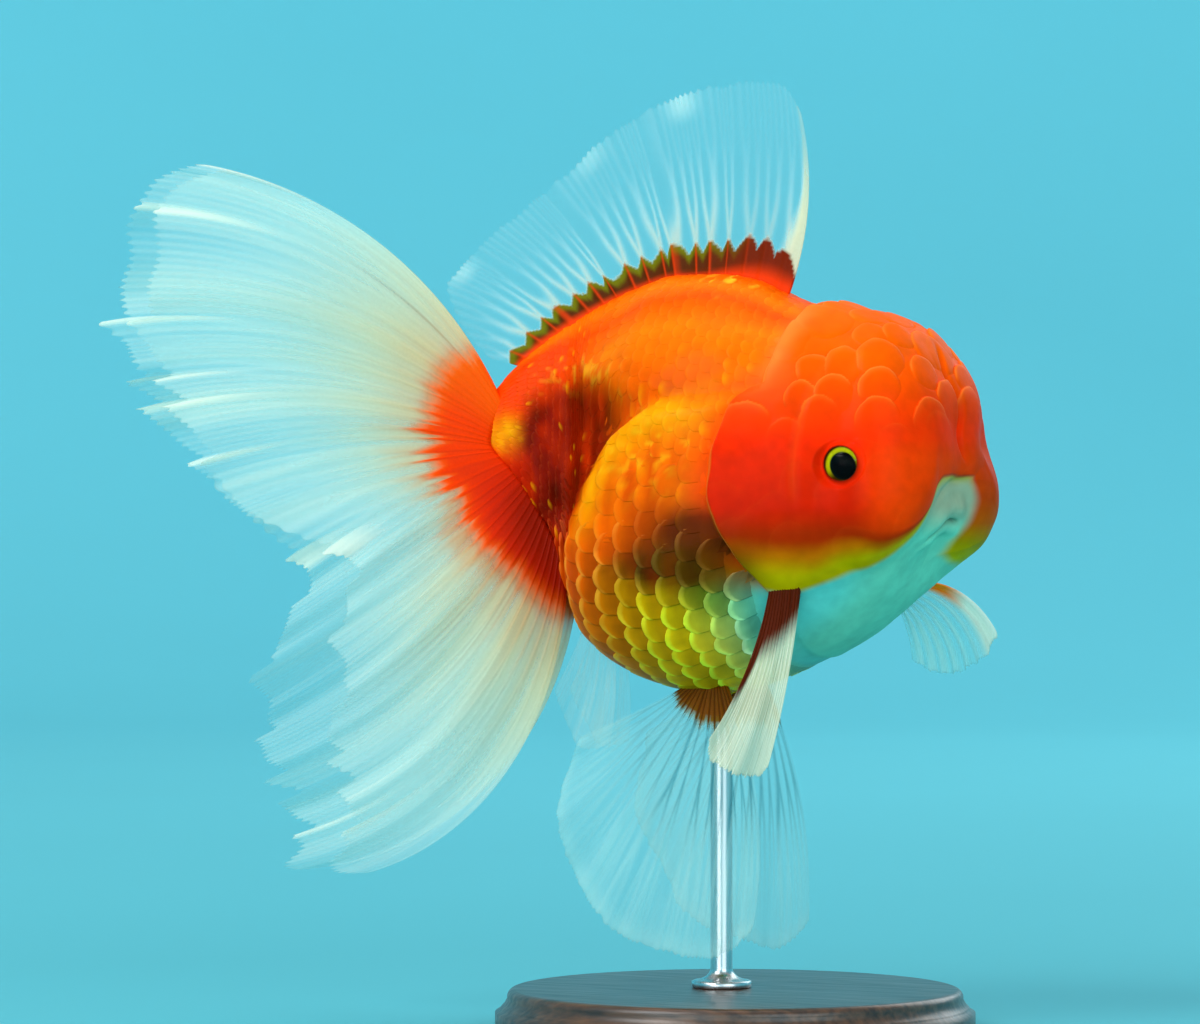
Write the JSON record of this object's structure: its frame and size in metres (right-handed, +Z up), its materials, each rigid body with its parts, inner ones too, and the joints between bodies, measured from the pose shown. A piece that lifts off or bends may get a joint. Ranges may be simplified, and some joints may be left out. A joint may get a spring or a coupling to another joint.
{
  "type": "fancy goldfish display model",
  "caption": "Life-size still model of a fancy goldfish of the oranda breed, with hooded head, deep scaled body, tall back fin and wide double tail, held over a round stand by a rod.",
  "frame": {"origin": "centre of the underside of the stand's base, on the surface that it stands on", "axes": "+X towards the fish's head along its middle, +Z up, so the fish's right side faces -Y"},
  "size_m": [0.1718, 0.1138, 0.1901],
  "materials": {
    "skin": "moist, satin to glossy, orange-red above, yellow and pearly white below",
    "lips": "moist, pale grey-white",
    "eye": "clear glossy, black pupil in a yellow-olive iris",
    "fin": "translucent cream-white membrane between ribbed rays, orange or dark brown at the root",
    "stand_wood": "dark stained and satin varnished",
    "stand_steel": "brushed"
  },
  "bodies": {
    "root": {"face": "skin", "hood_crown": "skin", "gill_cover_right": "skin", "gill_cover_left": "skin", "trunk": "skin", "tail_stalk": "skin", "lip_upper": "lips", "lip_lower": "lips", "eye_right": "eye", "eye_left": "eye", "dorsal_fin": "fin", "pectoral_fin_right": "fin", "pectoral_fin_left": "fin", "pelvic_fin_right": "fin", "pelvic_fin_left": "fin", "anal_fin_right": "fin", "anal_fin_left": "fin", "tail_fin_upper_right": "fin", "tail_fin_lower_right": "fin", "tail_fin_upper_left": "fin", "tail_fin_lower_left": "fin", "stand_base": "stand_wood", "stand_rod": "stand_steel"}
  },
  "joints": []
}
